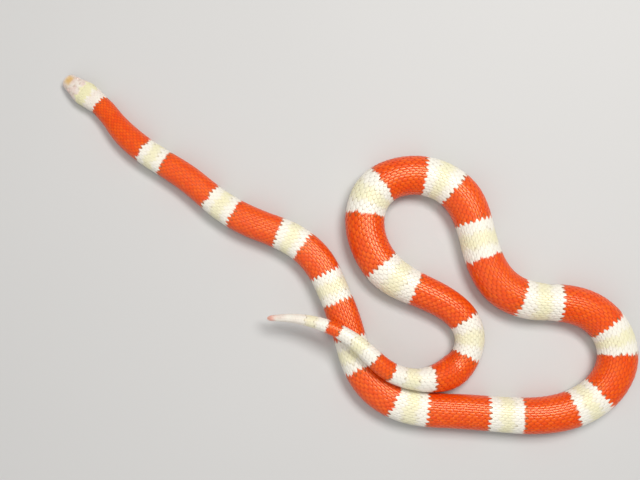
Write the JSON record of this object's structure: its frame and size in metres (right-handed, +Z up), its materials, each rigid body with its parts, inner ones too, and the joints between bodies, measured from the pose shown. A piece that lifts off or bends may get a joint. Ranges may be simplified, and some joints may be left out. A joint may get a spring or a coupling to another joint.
{
  "type": "milk snake",
  "caption": "Life-size still model of an albino milk snake with red and cream bands, lying in loose bends with its tail over its own back.",
  "frame": {"origin": "middle of the bounding box, at the level of the floor that the belly lies on", "axes": "+X along the longest reach, from the head's end towards the widest bend; +Y towards the head's side; +Z up"},
  "size_m": [0.3406, 0.2132, 0.0256],
  "materials": {
    "banded_skin": "smooth glossy scales in broad orange-red bands and narrower cream rings",
    "head_skin": "smooth glossy head plates, pinkish white with a yellow snout and a pale yellow crown",
    "eye": "wet gloss, pink iris with a red pupil"
  },
  "bodies": {
    "root": {"head": "head_skin", "lower_jaw": "head_skin", "eye_left": "eye", "eye_right": "eye", "neck": "banded_skin", "trunk_01": "banded_skin", "trunk_02": "banded_skin", "trunk_03": "banded_skin", "trunk_04": "banded_skin", "trunk_05": "banded_skin", "trunk_06": "banded_skin", "trunk_07": "banded_skin", "trunk_08": "banded_skin", "trunk_09": "banded_skin", "trunk_10": "banded_skin", "trunk_11": "banded_skin", "trunk_12": "banded_skin", "trunk_13": "banded_skin", "trunk_14": "banded_skin", "tail_base": "banded_skin", "tail_middle": "banded_skin", "tail_tip": "banded_skin"}
  },
  "joints": []
}
